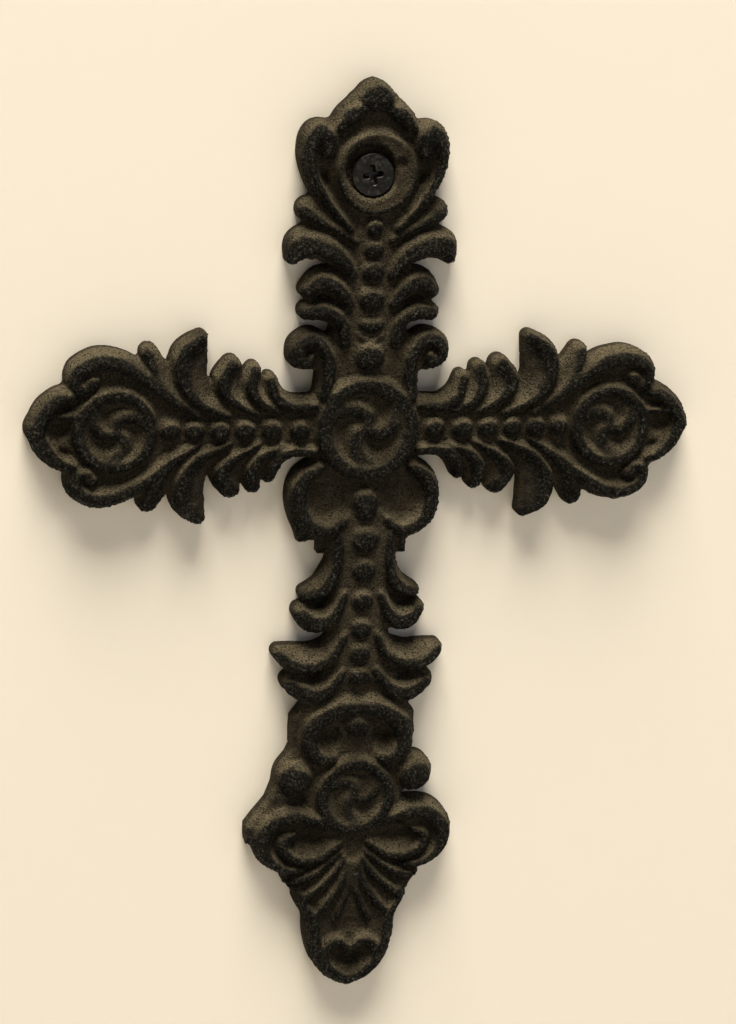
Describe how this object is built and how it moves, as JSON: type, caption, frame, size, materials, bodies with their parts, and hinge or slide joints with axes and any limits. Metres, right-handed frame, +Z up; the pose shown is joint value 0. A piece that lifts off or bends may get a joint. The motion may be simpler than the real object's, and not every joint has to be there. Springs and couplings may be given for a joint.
{
  "type": "wall cross",
  "caption": "Ornamental cast iron wall cross with scrolled leaf tips, ringed medallions and rows of beads, hung on a countersunk screw through its top.",
  "frame": {"origin": "on the axis of the mounting screw, in the plane of the flat back that lies on the wall", "axes": "+Z up along the long arm of the cross, front faces -Y, +X to the viewer's right"},
  "size_m": [0.1324, 0.0274, 0.1845],
  "materials": {
    "casting": "as cast, black paint worn to brown in the ground",
    "screw": "black oxide, semi-gloss"
  },
  "bodies": {
    "root": {"cross": "casting", "screw": "screw"}
  },
  "joints": []
}
